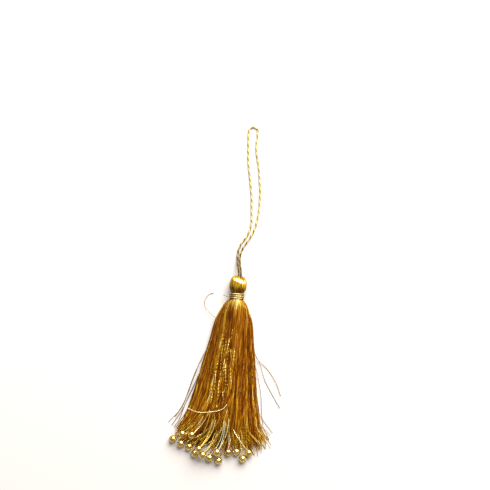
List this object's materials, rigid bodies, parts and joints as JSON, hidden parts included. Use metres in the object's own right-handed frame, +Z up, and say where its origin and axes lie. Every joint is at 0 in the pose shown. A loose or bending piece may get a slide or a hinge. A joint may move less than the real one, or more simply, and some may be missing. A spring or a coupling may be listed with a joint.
{
  "type": "silk tassel",
  "caption": "Gold silk tassel with a round head, a bound neck, a long skirt ending in threaded beads and a twisted hanging loop, lying on its side.",
  "frame": {"origin": "on the surface it lies on, under the middle of the tassel's bounding box, hanging loop left out", "axes": "+Y along the tassel from the skirt's ends to the head, +X across it, +Z up"},
  "size_m": [0.0454, 0.1387, 0.007],
  "materials": {
    "silk": "glossy silk yarn",
    "metallic_thread": "pale metallic thread, bright",
    "gold_cord": "two-ply twisted cord with a soft metallic gloss",
    "gold_bead": "polished gold coating"
  },
  "bodies": {
    "root": {"head_and_skirt": "silk", "neck_binding": "metallic_thread", "hanging_loop": "gold_cord", "bead_01": "gold_bead", "bead_02": "gold_bead", "bead_03": "gold_bead", "bead_04": "gold_bead", "bead_05": "gold_bead", "bead_06": "gold_bead", "bead_07": "gold_bead", "bead_08": "gold_bead", "bead_09": "gold_bead", "bead_10": "gold_bead", "bead_11": "gold_bead", "bead_12": "gold_bead", "bead_13": "gold_bead", "bead_14": "gold_bead", "bead_15": "gold_bead"}
  },
  "joints": []
}
